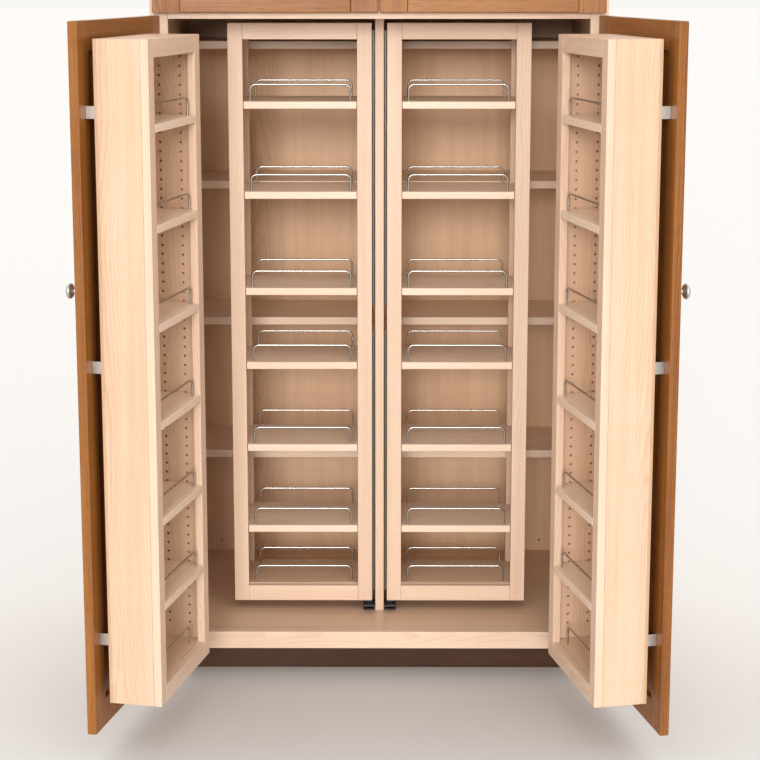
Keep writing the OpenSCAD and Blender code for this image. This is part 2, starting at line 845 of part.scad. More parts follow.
module door_hinge_plates() {
    color(nickel) placed() for (side = [0, 1]) {
        mirror([side, 0, 0]) for (z = concat(hinge_zs_lower, hinge_zs_upper)) {
            frame_hinge(z);
        }
    }
}

// Screws of the post's hinge leaves
module cabinet_screws() {
    color(nickel) placed() for (side = [0, 1]) {
        mirror([side, 0, 0]) {
            for (z = screw_zs) {
                translate([post_w / 2 + leaf_t + glue_line, screw_y, z]) screw_x(screw_len);
            }
        }
    }
}

// ---- Sub-parts of the two halves ----

module left_rack_case() { color(maple) left_half() swing_case(); }
module left_rack_front_frame() { color(maple_edge) left_half() swing_front_frame(); }
module left_rack_back_frame() { color(maple_edge) left_half() swing_back_frame(); }
module left_rack_shelves() { color(maple_edge) left_half() swing_shelves(); }
module left_rack_rails() { color(bright_wire) left_half() swing_rails(); }
module left_rack_pins() { color(nickel) left_half() swing_pins(); }
module left_rack_hinges() { color(nickel) left_half() rack_hinges(); }
module left_rack_pivot() { color(black_nylon) left_half() rack_pivot(); }
module right_rack_case() { color(maple) right_half() swing_case(); }
module right_rack_front_frame() { color(maple_edge) right_half() swing_front_frame(); }
module right_rack_back_frame() { color(maple_edge) right_half() swing_back_frame(); }
module right_rack_shelves() { color(maple_edge) right_half() swing_shelves(); }
module right_rack_rails() { color(bright_wire) right_half() swing_rails(); }
module right_rack_pins() { color(nickel) right_half() swing_pins(); }
module right_rack_hinges() { color(nickel) right_half() rack_hinges(); }
module right_rack_pivot() { color(black_nylon) right_half() rack_pivot(); }

module lower_door_frame() {
    swung(open_angle) door_frame(lower_z, lower_top, hinge_zs_lower);
}

module lower_door_panel() {
    swung(open_angle) door_panel(lower_z, lower_top, 0);
}

module lower_door_hinges() {
    swung(open_angle) for (z = hinge_zs_lower) {
        door_hinge(z);
    }
}

module lower_door_knob() {
    swung(open_angle) knob(knob_z);
}

module left_door_frame() { color(stained) left_half() lower_door_frame(); }
module left_door_panel() { color(stained) left_half() lower_door_panel(); }
module left_door_hinges() { color(nickel) left_half() lower_door_hinges(); }
module left_door_knob() { color(nickel) left_half() lower_door_knob(); }
module left_door_rack_case() { color(maple) left_half() door_case(); }
module left_door_rack_back() { color(maple_back) left_half() door_rack_back(); }
module left_door_rack_frame() { color(maple_edge) left_half() door_rack_frame(); }
module left_door_rack_shelves() { color(maple_edge) left_half() door_rack_shelves(); }
module left_door_rack_rails() { color(bright_wire) left_half() door_rack_rails(); }
module left_door_rack_pins() { color(nickel) left_half() door_rack_pins(); }
module left_door_rack_brackets() { color(nickel) left_half() door_rack_brackets(); }
module right_door_frame() { color(stained) right_half() lower_door_frame(); }
module right_door_panel() { color(stained) right_half() lower_door_panel(); }
module right_door_hinges() { color(nickel) right_half() lower_door_hinges(); }
module right_door_knob() { color(nickel) right_half() lower_door_knob(); }
module right_door_rack_case() { color(maple) right_half() door_case(); }
module right_door_rack_back() { color(maple_back) right_half() door_rack_back(); }
module right_door_rack_frame() { color(maple_edge) right_half() door_rack_frame(); }
module right_door_rack_shelves() { color(maple_edge) right_half() door_rack_shelves(); }
module right_door_rack_rails() { color(bright_wire) right_half() door_rack_rails(); }
module right_door_rack_pins() { color(nickel) right_half() door_rack_pins(); }
module right_door_rack_brackets() { color(nickel) right_half() door_rack_brackets(); }

module upper_door() {
    door_frame(upper_z, upper_top, hinge_zs_upper);
    door_panel(upper_z, upper_top, glue_line);
}

module upper_fittings() {
    for (z = hinge_zs_upper) {
        door_hinge(z);
    }
    knob(upper_z + upper_knob_up);
}

module upper_left_door() { color(stained) left_half() upper_door(); }
module upper_left_fittings() { color(nickel) left_half() upper_fittings(); }
module upper_right_door() { color(stained) right_half() upper_door(); }
module upper_right_fittings() { color(nickel) right_half() upper_fittings(); }

side_panel_left();
side_panel_right();
bottom_panel();
mid_panel();
top_panel();
back_panel();
hang_rails();
toe_kick();
face_frame_stiles();
face_frame_rails();
centre_post();
rear_shelves();
upper_shelf();
shelf_pins();
post_hinge_leaves();
pivot_brackets();
door_hinge_plates();
cabinet_screws();
left_rack_case();
left_rack_front_frame();
left_rack_back_frame();
left_rack_shelves();
left_rack_rails();
left_rack_pins();
left_rack_hinges();
left_rack_pivot();
right_rack_case();
right_rack_front_frame();
right_rack_back_frame();
right_rack_shelves();
right_rack_rails();
right_rack_pins();
right_rack_hinges();
right_rack_pivot();
left_door_frame();
left_door_panel();
left_door_hinges();
left_door_knob();
left_door_rack_case();
left_door_rack_back();
left_door_rack_frame();
left_door_rack_shelves();
left_door_rack_rails();
left_door_rack_pins();
left_door_rack_brackets();
right_door_frame();
right_door_panel();
right_door_hinges();
right_door_knob();
right_door_rack_case();
right_door_rack_back();
right_door_rack_frame();
right_door_rack_shelves();
right_door_rack_rails();
right_door_rack_pins();
right_door_rack_brackets();
upper_left_door();
upper_left_fittings();
upper_right_door();
upper_right_fittings();
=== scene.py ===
"""Looks of a tall pantry cabinet with swing-out racks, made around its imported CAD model."""

import json
import math
import random

import bmesh
import bpy
from mathutils import Matrix, Vector

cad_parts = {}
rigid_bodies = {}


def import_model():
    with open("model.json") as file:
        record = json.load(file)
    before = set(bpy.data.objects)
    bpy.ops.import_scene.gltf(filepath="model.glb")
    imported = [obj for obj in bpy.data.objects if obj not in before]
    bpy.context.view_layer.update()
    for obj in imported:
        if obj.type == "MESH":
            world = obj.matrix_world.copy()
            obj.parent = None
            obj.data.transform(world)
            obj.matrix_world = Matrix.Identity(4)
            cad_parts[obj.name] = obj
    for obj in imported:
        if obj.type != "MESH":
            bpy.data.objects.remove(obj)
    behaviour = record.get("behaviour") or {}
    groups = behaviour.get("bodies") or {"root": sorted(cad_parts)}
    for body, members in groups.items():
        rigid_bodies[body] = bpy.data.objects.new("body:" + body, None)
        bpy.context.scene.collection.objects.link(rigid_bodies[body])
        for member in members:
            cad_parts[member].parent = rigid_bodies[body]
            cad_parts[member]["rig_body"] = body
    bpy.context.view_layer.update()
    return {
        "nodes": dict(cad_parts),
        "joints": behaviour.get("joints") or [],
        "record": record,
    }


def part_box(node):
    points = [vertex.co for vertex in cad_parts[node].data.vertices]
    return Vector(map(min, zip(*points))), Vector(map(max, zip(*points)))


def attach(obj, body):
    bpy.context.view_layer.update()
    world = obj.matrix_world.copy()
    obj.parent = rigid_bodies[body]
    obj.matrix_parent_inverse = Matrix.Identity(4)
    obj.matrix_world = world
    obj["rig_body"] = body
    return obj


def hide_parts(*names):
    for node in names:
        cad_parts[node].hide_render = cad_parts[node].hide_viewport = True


bl_info = {
    "name": "Pantry Cabinet",
    "version": (1, 0, 0),
    "blender": (4, 5, 0),
    "location": "View3D > Sidebar > Pantry",
    "description": "Builds the boards, rails and hardware of a pantry cabinet",
    "category": "Add Mesh",
}

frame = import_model()

SIDES = ("left", "right")
PLYWOOD = ("maple_board", "maple_back")
WELD = 1e-6
TRUE_EDGE = math.radians(40)
AXES = (Vector((1, 0, 0)), Vector((0, 1, 0)), Vector((0, 0, 1)))

# Sizes of the small shapes that are made here, in metres
WIRE_R = 0.00225
WIRE_BEND = 0.012
WIRE_TIP = 0.0006
PEG_R = 0.0025
COLLAR_R = 0.0033
TONGUE = 0.007
SPOON_T = 0.0014
RIB_HALF = 0.0009
SCREW_HEAD_T = 0.0009
SCREW_SHANK_R = 0.0017
SCREW_TALLEST = 0.012
PANEL_GROOVE = 0.009
PANEL_PLAY = 0.001
MITRE_SEAM = 0.00005
KNOB_REACH = 0.1

# How far the edges of each kind of board or fitting are eased, and the shortest edge that is
SHELF_EDGES = {"ease": 0.0016}
DOOR_EDGES = {"ease": 0.0022}
PANEL_EDGES = {"ease": 0.0006}
LEAF_EDGES = {"ease": 0.0002, "shortest": 0.004}
BRACKET_EDGES = {"ease": 0.0005, "shortest": 0.004}
PIVOT_EDGES = {"ease": 0.0005, "shortest": 0.003}
FITTING_EDGES = {"ease": 0.0004, "shortest": 0.003}


# ---- Sizes and colours that a user would change ----


def colour(name, description, value):
    """A colour property with the usual limits."""
    return bpy.props.FloatVectorProperty(
        name=name, description=description, default=value, size=3, min=0, max=1, subtype="COLOR"
    )


def length(name, description, value):
    """A length property in metres."""
    return bpy.props.FloatProperty(
        name=name, description=description, default=value, min=0, subtype="DISTANCE", unit="LENGTH"
    )


def share(name, description, value):
    """A property from 0 to 1."""
    return bpy.props.FloatProperty(
        name=name, description=description, default=value, min=0, max=1, subtype="FACTOR"
    )


class PantryWood(bpy.types.PropertyGroup):
    """Colours of the woods and how their edges are eased."""

    frame_light: colour("Frame maple", "Early wood of the solid maple", (0.80, 0.60, 0.455))
    frame_dark: colour("Frame maple grain", "Late wood of the solid maple", (0.635, 0.42, 0.285))
    panel_light: colour("Panel maple", "Early wood of the veneered panels", (0.765, 0.560, 0.405))
    panel_dark: colour("Panel maple grain", "Late wood of the veneered panels", (0.59, 0.385, 0.245))
    back_light: colour("Back maple", "Early wood of the thin backs", (0.81, 0.548, 0.352))
    back_dark: colour("Back maple grain", "Late wood of the thin backs", (0.61, 0.380, 0.222))
    # The shelf maple is a paler copy of the panel maple: its wood colour plus painted light that stands in
    # for the light falling on the shelves' tops.
    shelf_painted_lit_early: colour("Shelf maple", "Early wood of the shelves", (0.90, 0.715, 0.565))
    shelf_painted_lit_late: colour("Shelf maple grain", "Late wood of the shelves", (0.74, 0.545, 0.40))
    door_light: colour("Door stain", "Early wood of the stained doors", (0.385, 0.150, 0.030))
    door_dark: colour("Door stain grain", "Late wood of the stained doors", (0.165, 0.052, 0.012))
    toe_light: colour("Toe kick stain", "Early wood of the toe kick", (0.085, 0.030, 0.011))
    toe_dark: colour("Toe kick stain grain", "Late wood of the toe kick", (0.032, 0.011, 0.005))
    ring: length("Growth ring", "Distance from one growth ring to the next", 0.0034)
    ease: length("Eased edge", "Radius of the sanded edges of the boards", 0.0011)
    bead: length("Door bead", "Size of the bead round the doors' panels", 0.007)
    wear: share("Edge wear", "How far the finish has worn off the edges", 0.32)


class PantryHardware(bpy.types.PropertyGroup):
    """Colours and roughness of the metal and plastic fittings."""

    chrome: colour("Chrome", "Colour of the wire rails", (0.46, 0.44, 0.41))
    nickel: colour("Nickel", "Colour of the hinges, screws and pins", (0.58, 0.565, 0.54))
    # The continuous hinges are steel, but this colour is darkened far below steel: painted shade, so the
    # hinges read as the shadow in the gap beside the post.
    hinge: colour("Hinge steel", "Colour of the continuous hinges", (0.17, 0.152, 0.130))
    nylon: colour("Nylon", "Colour of the pivot plates and glides", (0.022, 0.022, 0.024))
    chrome_rough: share("Chrome roughness", "Roughness of the wire rails", 0.27)
    nickel_rough: share("Nickel roughness", "Roughness of the satin nickel", 0.33)
    wire_sides: bpy.props.IntProperty(
        name="Wire sides", description="Sides of the wire's round section", default=16, min=8, max=48
    )
    bend_steps: bpy.props.IntProperty(
        name="Bend steps", description="Steps in each bend of a rail", default=10, min=3, max=32
    )


class PantryStage(bpy.types.PropertyGroup):
    """Floor, lights and camera."""

    floor: colour("Floor", "Colour of the floor", (0.72, 0.711, 0.70))
    eye: bpy.props.FloatVectorProperty(
        name="Camera place", description="Where the camera stands", default=(0.0206, -4.0642, 1.5351),
        size=3, subtype="TRANSLATION", unit="LENGTH"
    )
    pitch: bpy.props.FloatProperty(
        name="Camera pitch", description="How far the camera looks down", default=math.radians(10.35),
        subtype="ANGLE", unit="ROTATION"
    )
    yaw: bpy.props.FloatProperty(
        name="Camera yaw", description="How far the camera turns to its left", default=math.radians(0.27),
        subtype="ANGLE", unit="ROTATION"
    )
    lens: bpy.props.FloatProperty(
        name="Lens", description="Focal length of the camera", default=90.0, min=10, max=300, unit="CAMERA"
    )
    shift: bpy.props.FloatProperty(
        name="Vertical shift", description="Vertical shift of the camera", default=-0.08, min=-1, max=1
    )
    key: bpy.props.FloatProperty(
        name="Key light", description="Strength of the light from the front", default=1.58, min=0
    )
    fill: bpy.props.FloatProperty(
        name="Fill light", description="Strength of each light from behind", default=0.45, min=0
    )
    sky: share("Sky", "Strength of the even light from all round", 0.95)


def wood_settings():
    """The scene's wood settings."""
    return bpy.context.scene.pantry_wood


def hardware_settings():
    """The scene's hardware settings."""
    return bpy.context.scene.pantry_hardware


def stage_settings():
    """The scene's stage settings."""
    return bpy.context.scene.pantry_stage


# ---- Material nodes ----


def feed(tree, socket, value):
    """Links a socket to value when that is a socket too, and sets it otherwise."""
    if isinstance(value, bpy.types.NodeSocket):
        tree.links.new(value, socket)
    else:
        socket.default_value = value


def maths(tree, operation, first, second=0.0):
    """The result of one Math node."""
    node = tree.nodes.new("ShaderNodeMath")
    node.operation = operation
    feed(tree, node.inputs[0], first)
    feed(tree, node.inputs[1], second)
    return node.outputs[0]


def stretched(tree, vector, scale):
    """The vector with each part multiplied by the matching part of scale."""
    node = tree.nodes.new("ShaderNodeVectorMath")
    node.operation = "MULTIPLY"
    feed(tree, node.inputs[0], vector)
    node.inputs[1].default_value = scale
    return node.outputs[0]


def noise(tree, vector, scale, detail=2.0, roughness=0.5):
    """Noise from 0 to 1 whose features are 1 / scale metres long on each axis."""
    node = tree.nodes.new("ShaderNodeTexNoise")
    feed(tree, node.inputs["Vector"], stretched(tree, vector, scale))
    node.inputs["Scale"].default_value = 1.0
    node.inputs["Detail"].default_value = detail
    node.inputs["Roughness"].default_value = roughness
    return node.outputs["Fac"]


def ramp(tree, value, low, high, start=0.0, end=1.0):
    """Value moved from the range low to high into the range start to end, with soft ends."""
    node = tree.nodes.new("ShaderNodeMapRange")
    node.interpolation_type = "SMOOTHSTEP"
    feed(tree, node.inputs["Value"], value)
    for name, number in zip(("From Min", "From Max", "To Min", "To Max"), (low, high, start, end)):
        feed(tree, node.inputs[name], number)
    return node.outputs[0]


def blended(tree, factor, first, second):
    """The colour between first and second."""
    node = tree.nodes.new("ShaderNodeMix")
    node.data_type = "RGBA"
    feed(tree, node.inputs[0], factor)
    feed(tree, node.inputs[6], first)
    feed(tree, node.inputs[7], second)
    return node.outputs[2]


def rgba(value, scale=1.0):
    """A colour with its alpha, made scale times as bright."""
    return tuple(min(1.0, part * scale) for part in value) + (1.0,)


def attribute(tree, name):
    """A vector that the mesh carries."""
    node = tree.nodes.new("ShaderNodeAttribute")
    node.attribute_name = name
    return node.outputs["Vector"]


def parts_of(tree, vector):
    """The three parts of a vector."""
    node = tree.nodes.new("ShaderNodeSeparateXYZ")
    feed(tree, node.inputs[0], vector)
    return node.outputs


def shaded(name):
    """A new material, its node tree and its shader."""
    material = bpy.data.materials.new(name)
    material.use_nodes = True
    tree = material.node_tree
    return material, tree, tree.nodes["Principled BSDF"]


def bumped(tree, shader, height, distance, strength):
    """Raises the surface by height, from 0 to 1, times distance."""
    node = tree.nodes.new("ShaderNodeBump")
    node.inputs["Strength"].default_value = strength
    node.inputs["Distance"].default_value = distance
    feed(tree, node.inputs["Height"], height)
    tree.links.new(node.outputs["Normal"], shader.inputs["Normal"])


# ---- Woods: growth rings cut by the board, fibres along it, and worn edges ----


def wood(name, light, dark, contrast=1.0, rough=0.42, plies=0.0, pores=0.0, knots=0.0):
    """A wood whose rings are cylinders round the tree's heart, so faces and ends match."""
    settings = wood_settings()
    material, tree, shader = shaded(name)
    grain = attribute(tree, "grain")
    wear, end, tone = parts_of(tree, attribute(tree, "trim"))
    along, _, deep = parts_of(tree, grain)

    radius = tree.nodes.new("ShaderNodeVectorMath")
    radius.operation = "LENGTH"
    feed(tree, radius.inputs[0], stretched(tree, grain, (0, 1, 1)))
    sway = maths(tree, "MULTIPLY", noise(tree, grain, (0.9, 4.5, 4.5), 2.0), 0.085)
    ripple = maths(tree, "MULTIPLY", noise(tree, grain, (4.0, 26, 26), 3.0), 0.011)
    taper = maths(tree, "MULTIPLY", along, 0.010)
    heart = maths(tree, "ADD", radius.outputs["Value"], maths(tree, "ADD", sway, ripple))
    count = maths(tree, "DIVIDE", maths(tree, "ADD", heart, taper), settings.ring)
    spread = noise(tree, grain, (0.3, 9, 9), 1.0)
    ring = maths(tree, "FRACT", maths(tree, "ADD", count, maths(tree, "MULTIPLY", spread, 3.0)))
    late = maths(tree, "MULTIPLY", ramp(tree, ring, 0.35, 0.92), ramp(tree, ring, 1.0, 0.93))

    streak = noise(tree, grain, (1.1, 42, 42), 3.0, 0.6)
    fibre = noise(tree, grain, (14, 720, 720), 2.0, 0.55)
    cloud = noise(tree, grain, (1.6, 5, 5), 3.0, 0.55)
    figure = noise(tree, grain, (58, 9, 9), 1.0)

    depth = maths(tree, "MULTIPLY", late, 0.34 * contrast)
    for pattern, low, high, weight in (
        (streak, 0.34, 0.74, 0.34),
        (cloud, 0.30, 0.75, 0.30),
        (fibre, 0.35, 0.75, 0.16),
        (figure, 0.40, 0.70, 0.06),
    ):
        added = maths(tree, "MULTIPLY", ramp(tree, pattern, low, high), weight * contrast)
        depth = maths(tree, "ADD", depth, added)
    depth = maths(tree, "ADD", depth, maths(tree, "MULTIPLY", maths(tree, "SUBTRACT", tone, 0.5), 0.24))
    depth = maths(tree, "MAXIMUM", depth, 0.0)
    paint = blended(tree, maths(tree, "MINIMUM", depth, 1.0), rgba(light), rgba(dark))

    pore = ramp(tree, noise(tree, grain, (26, 900, 900), 1.0), 0.60, 0.74)
    flecks = maths(tree, "MULTIPLY", pore, pores)
    paint = blended(tree, flecks, paint, rgba(dark, 0.55))
    mineral = ramp(tree, noise(tree, grain, (2.2, 55, 55), 2.0), 0.73, 0.80)
    paint = blended(tree, maths(tree, "MULTIPLY", mineral, knots), paint, rgba(dark, 0.62))

    cut_end = maths(tree, "MULTIPLY", end, 0.34)
    paint = blended(tree, cut_end, paint, rgba(dark, 0.78))
    if plies:
        layer = maths(tree, "FRACT", maths(tree, "DIVIDE", deep, plies))
        stripe = ramp(tree, maths(tree, "PINGPONG", layer, 0.5), 0.20, 0.30)
        glue = maths(tree, "MULTIPLY", maths(tree, "MULTIPLY", stripe, end), 0.55)
        paint = blended(tree, glue, paint, rgba(dark, 0.62))
    rubbed = ramp(tree, noise(tree, grain, (22, 60, 60), 3.0, 0.65), 0.36, 0.66)
    worn = maths(tree, "MULTIPLY", maths(tree, "MULTIPLY", wear, rubbed), settings.wear)
    paint = blended(tree, worn, paint, rgba(light, 1.22))
    tree.links.new(paint, shader.inputs["Base Color"])

    smudge = noise(tree, grain, (7, 11, 11), 4.0, 0.6)
    shine = ramp(tree, smudge, 0.3, 0.75, rough - 0.06, rough + 0.09)
    shine = maths(tree, "ADD", shine, maths(tree, "MULTIPLY", maths(tree, "ADD", worn, flecks), 0.18))
    shine = maths(tree, "ADD", shine, maths(tree, "MULTIPLY", end, 0.14))
    tree.links.new(shine, shader.inputs["Roughness"])
    shader.inputs["Coat Weight"].default_value = 0.06
    shader.inputs["Coat Roughness"].default_value = 0.28
    shader.inputs["Specular IOR Level"].default_value = 0.30

    height = maths(tree, "MULTIPLY", fibre, 0.55)
    height = maths(tree, "SUBTRACT", height, maths(tree, "MULTIPLY", late, 0.22))
    height = maths(tree, "SUBTRACT", height, maths(tree, "MULTIPLY", flecks, 0.8))
    height = maths(tree, "ADD", height, maths(tree, "MULTIPLY", smudge, 0.5))
    bumped(tree, shader, height, 0.00035, 0.32)
    return material


# ---- Metals and plastic ----


def metal(name, tint, rough, brushed):
    """Plated steel with handling marks, and fine brushing where brushed is over 0."""
    material, tree, shader = shaded(name)
    place = attribute(tree, "grain")
    marks = noise(tree, place, (150, 150, 150), 4.0, 0.65)
    lines = noise(tree, place, (60, 1500, 1500), 2.0)
    spots = ramp(tree, noise(tree, place, (420, 420, 420), 2.0), 0.66, 0.76)
    handled = 0.10 + 0.40 * brushed
    dull = maths(tree, "MULTIPLY", ramp(tree, marks, 0.4, 0.75), handled)
    paint = blended(tree, dull, rgba(tint), rgba(tint, 0.80))
    paint = blended(tree, maths(tree, "MULTIPLY", spots, 0.6 * handled), paint, rgba(tint, 0.5))
    tree.links.new(paint, shader.inputs["Base Color"])
    shader.inputs["Metallic"].default_value = 1.0
    shine = ramp(tree, marks, 0.3, 0.75, rough * (1 - 0.3 * handled), rough * (1 + 0.5 * handled))
    shine = maths(tree, "ADD", shine, maths(tree, "MULTIPLY", lines, 0.10 * brushed))
    shine = maths(tree, "ADD", shine, maths(tree, "MULTIPLY", spots, 0.3 * handled))
    tree.links.new(shine, shader.inputs["Roughness"])
    height = maths(tree, "MULTIPLY", lines, brushed)
    height = maths(tree, "SUBTRACT", height, maths(tree, "MULTIPLY", spots, handled))
    bumped(tree, shader, height, 0.00004, 0.3)
    return material


def plastic(name, tint):
    """Moulded nylon with a fine spark-eroded texture."""
    material, tree, shader = shaded(name)
    place = attribute(tree, "grain")
    pits = noise(tree, place, (1500, 1500, 1500), 2.0)
    scuffs = ramp(tree, noise(tree, place, (90, 90, 90), 4.0, 0.7), 0.55, 0.75)
    paint = blended(tree, maths(tree, "MULTIPLY", scuffs, 0.4), rgba(tint), rgba(tint, 2.6))
    tree.links.new(paint, shader.inputs["Base Color"])
    tree.links.new(ramp(tree, scuffs, 0.0, 1.0, 0.42, 0.62), shader.inputs["Roughness"])
    bumped(tree, shader, maths(tree, "ADD", pits, scuffs), 0.0001, 0.4)
    return material


MADE = {}


def finish(name):
    """A finish by its name, made the first time it is asked for."""
    if name in MADE:
        return MADE[name]
    w = wood_settings()
    h = hardware_settings()
    makers = {
        "maple_edge": lambda: wood("maple_edge", w.frame_light, w.frame_dark, 0.85, 0.40, knots=0.35),
        "maple_board": lambda: wood("maple_board", w.panel_light, w.panel_dark, 0.95, 0.38, plies=0.0031),
        # Paler copy of the maple for the shelves: painted light on their tops.
        "maple_shelf_painted_light": lambda: wood("maple_shelf_painted_light", w.shelf_painted_lit_early, w.shelf_painted_lit_late, 0.9, 0.38),
        "maple_back": lambda: wood("maple_back", w.back_light, w.back_dark, 1.0, 0.46, plies=0.0024),
        "stained_door": lambda: wood("stained_door", w.door_light, w.door_dark, 1.05, 0.33, pores=0.6),
        "toe_stain": lambda: wood("toe_stain", w.toe_light, w.toe_dark, 1.0, 0.40, pores=0.5),
        "chrome_wire": lambda: metal("chrome_wire", h.chrome, h.chrome_rough, 0.0),
        "steel_hardware": lambda: metal("steel_hardware", h.nickel, h.nickel_rough, 1.0),
        # Steel of the continuous hinges, darkened as painted shade in the gap beside the post.
        "hinge_steel": lambda: metal("hinge_steel", h.hinge, h.nickel_rough, 1.0),
        "black_nylon": lambda: plastic("black_nylon", h.nylon),
    }
    MADE[name] = makers[name]()
    return MADE[name]


# ---- Solids of the CAD nodes, in the place where their boards lie square ----


def body_of(node):
    """The body that a CAD node rides on."""
    return frame["nodes"][node]["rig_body"]


def slot_of(node):
    """The record's slot that a CAD node takes its finish from."""
    for row in frame["record"]["subparts"]:
        if row["node"] == node:
            return row["material_slot"]
    raise ValueError(f"the record has no node {node}")


def squared(body):
    """Turns a body's pieces to where its boards lie square: an open door goes back to closed."""
    for joint in frame["joints"]:
        if joint["child"] == body and joint["range_deg"][0] < 0:
            pin = Matrix.Translation(joint["pos_m"])
            turn = Matrix.Rotation(math.radians(joint["range_deg"][0]), 4, Vector(joint["axis"]))
            return pin @ turn @ pin.inverted()
    return Matrix.Identity(4)


def corners(verts):
    """Lowest and highest corner of some vertices."""
    lo = Vector(min(v.co[i] for v in verts) for i in range(3))
    hi = Vector(max(v.co[i] for v in verts) for i in range(3))
    return lo, hi


def solids_of(node):
    """The separate solids of a CAD node with whole flat faces, from low to high corner."""
    whole = bmesh.new()
    whole.from_mesh(frame["nodes"][node].data)
    bmesh.ops.transform(whole, matrix=squared(body_of(node)), verts=whole.verts)
    bmesh.ops.remove_doubles(whole, verts=whole.verts, dist=WELD)
    whole.verts.ensure_lookup_table()
    found = []
    seen = set()
    for first in whole.verts:
        if first.index in seen:
            continue
        seen.add(first.index)
        stack = [first]
        faces = {}
        while stack:
            vert = stack.pop()
            for face in vert.link_faces:
                faces[face.index] = face
            for edge in vert.link_edges:
                other = edge.other_vert(vert)
                if other.index not in seen:
                    seen.add(other.index)
                    stack.append(other)
        if faces:
            found.append(copied([faces[i] for i in sorted(faces)]))
    whole.free()
    found.sort(key=lambda solid: [round(part, 4) for corner in corners(solid.verts) for part in corner])
    return found


def boxes_of(node):
    """Lowest and highest corner of each solid of a CAD node."""
    found = []
    for solid in solids_of(node):
        found.append(corners(solid.verts))
        solid.free()
    return found


def copied(faces):
    """A mesh of its own from some faces, with flat regions merged into single faces."""
    solid = bmesh.new()
    twins = {}
    for face in faces:
        for vert in face.verts:
            if vert.index not in twins:
                twins[vert.index] = solid.verts.new(vert.co)
        try:
            solid.faces.new([twins[vert.index] for vert in face.verts])
        except ValueError:
            continue
    bmesh.ops.dissolve_limit(
        solid, angle_limit=math.radians(0.6), use_dissolve_boundaries=False,
        verts=solid.verts, edges=solid.edges
    )
    bmesh.ops.recalc_face_normals(solid, faces=solid.faces)
    return solid


def eased(solid, radius, shortest):
    """Rounds the long outer edges of a solid and returns the new faces."""
    edges = [
        edge for edge in solid.edges
        if edge.calc_length() > shortest and len(edge.link_faces) == 2 and edge.is_convex
        and edge.calc_face_angle() > TRUE_EDGE
    ]
    if not edges or radius <= 0:
        return set()
    made = bmesh.ops.bevel(
        solid, geom=edges, offset=radius, offset_type="OFFSET", segments=3, profile=0.5,
        affect="EDGES", clamp_overlap=True
    )
    return set(made["faces"])


def marked(solid, chance, worn=(), lo=None, hi=None, plywood=False):
    """Gives a solid its grain coordinates and its wear, end-grain and tone values."""
    if lo is None:
        lo, hi = corners(solid.verts)
    size = hi - lo
    order = sorted(range(3), key=lambda i: -size[i])
    heart = (chance.uniform(-4, 4), chance.uniform(-0.16, 0.16), chance.uniform(0.04, 0.14))
    tone = chance.random()
    grain = solid.verts.layers.float_vector.get("grain") or solid.verts.layers.float_vector.new("grain")
    trim = solid.faces.layers.float_vector.get("trim") or solid.faces.layers.float_vector.new("trim")
    for vert in solid.verts:
        vert[grain] = [vert.co[axis] - lo[axis] + start for axis, start in zip(order, heart)]
    for face in solid.faces:
        end = abs(face.normal[order[0]]) > 0.9 or (plywood and abs(face.normal[order[2]]) < 0.5)
        face[trim] = (1.0 if face in worn else 0.0, 1.0 if end else 0.0, tone)


def joined(solids):
    """One mesh from many, which are freed."""
    whole = bmesh.new()
    for solid in solids:
        part = bpy.data.meshes.new("part")
        solid.to_mesh(part)
        solid.free()
        whole.from_mesh(part)
        bpy.data.meshes.remove(part)
    return whole


def piece(name, whole, body, slot, nodes=(), look=None):
    """An object from a mesh in its squared place, riding on its body with its finish.

    Its look is the slot's own finish unless another one is named."""
    bmesh.ops.transform(whole, matrix=squared(body).inverted(), verts=whole.verts)
    for face in whole.faces:
        face.smooth = True
    mesh = bpy.data.meshes.new(name)
    whole.to_mesh(mesh)
    whole.free()
    mesh.set_sharp_from_angle(angle=TRUE_EDGE)
    mesh.materials.append(finish(look or slot))
    made = bpy.data.objects.new(name, mesh)
    bpy.context.scene.collection.objects.link(made)
    flat = made.modifiers.new("flat_faces", "WEIGHTED_NORMAL")
    flat.keep_sharp = True
    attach(made, body)
    if nodes:
        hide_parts(*nodes)
    return made


def boards(node, name, ease=None, shortest=0.006, keep=None, look=None):
    """The boards of a CAD node, each with eased edges and a grain of its own."""
    ease = wood_settings().ease if ease is None else ease
    chance = random.Random(node)
    solids = solids_of(node)
    kept = []
    for solid in solids:
        if keep is not None and not keep(*corners(solid.verts)):
            solid.free()
            continue
        lo, hi = corners(solid.verts)
        marked(solid, chance, eased(solid, ease, shortest), lo, hi, slot_of(node) in PLYWOOD)
        kept.append(solid)
    return piece(name, joined(kept), body_of(node), slot_of(node), [node], look)


# ---- Shapes made here ----


def tube(path, radius, sides, side_way):
    """A round wire along a flat path whose plane has the normal side_way."""
    solid = bmesh.new()
    rings = []
    for i, point in enumerate(path):
        ahead = path[min(i + 1, len(path) - 1)] - path[max(i - 1, 0)]
        out = ahead.normalized().cross(side_way)
        rings.append([
            solid.verts.new(
                point + radius * (math.cos(turn) * out + math.sin(turn) * side_way)
            )
            for turn in (2 * math.pi * k / sides for k in range(sides))
        ])
    for low, high in zip(rings, rings[1:]):
        for k in range(sides):
            solid.faces.new((low[k], low[(k + 1) % sides], high[(k + 1) % sides], high[k]))
    solid.faces.new(rings[0])
    solid.faces.new(rings[-1])
    bmesh.ops.recalc_face_normals(solid, faces=solid.faces)
    return solid


